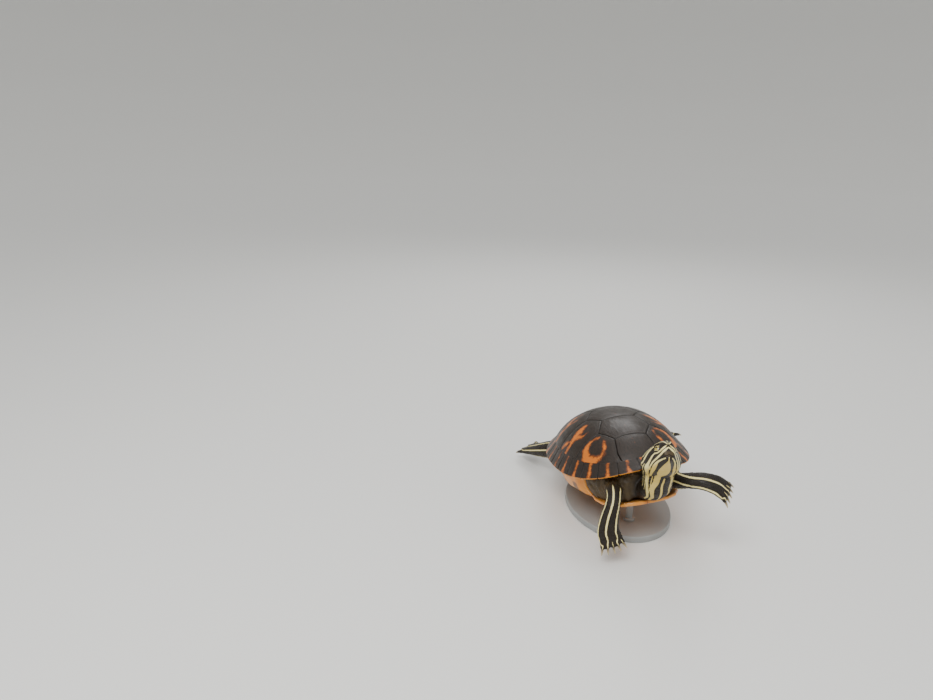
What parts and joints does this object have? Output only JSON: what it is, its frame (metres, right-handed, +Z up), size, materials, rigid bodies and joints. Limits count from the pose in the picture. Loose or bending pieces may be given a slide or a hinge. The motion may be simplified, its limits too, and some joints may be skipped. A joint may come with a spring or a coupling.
{
  "type": "red-bellied cooter turtle",
  "caption": "Swimming freshwater turtle with a low domed shell, raised striped head and webbed feet, held by two short rods on a flat oval base.",
  "frame": {"origin": "middle of the underside of the stand's oval base, under the middle of the shell", "axes": "+Z up, -Y the way the turtle swims, +X the turtle's left side"},
  "size_m": [0.2243, 0.3112, 0.1506],
  "materials": {
    "shell": "satin dark horn with orange-red bars",
    "plastron": "satin orange horn with faint dark smudges",
    "skin": "smooth moist near-black skin with pale yellow stripes",
    "eye": "clear gloss, yellow iris with a dark bar",
    "stand": "satin warm grey paint"
  },
  "bodies": {
    "root": {"bridge_left": "plastron", "bridge_right": "plastron", "eye_left": "eye", "eye_right": "eye", "forearm_left": "skin", "forearm_right": "skin", "forefoot_left": "skin", "forefoot_right": "skin", "foreleg_left": "skin", "foreleg_right": "skin", "head": "skin", "hindfoot_left": "skin", "hindfoot_right": "skin", "jaw": "skin", "marginals_left": "shell", "marginals_right": "shell", "neck": "skin", "plastron": "plastron", "scute_costal_left_1": "shell", "scute_costal_left_2": "shell", "scute_costal_left_3": "shell", "scute_costal_left_4": "shell", "scute_costal_right_1": "shell", "scute_costal_right_2": "shell", "scute_costal_right_3": "shell", "scute_costal_right_4": "shell", "scute_vertebral_1": "shell", "scute_vertebral_2": "shell", "scute_vertebral_3": "shell", "scute_vertebral_4": "shell", "scute_vertebral_5": "shell", "shank_left": "skin", "shank_right": "skin", "stand_base": "stand", "stand_rod_front": "stand", "stand_rod_rear": "stand", "tail": "skin", "thigh_left": "skin", "thigh_right": "skin", "trunk": "skin"}
  },
  "joints": []
}
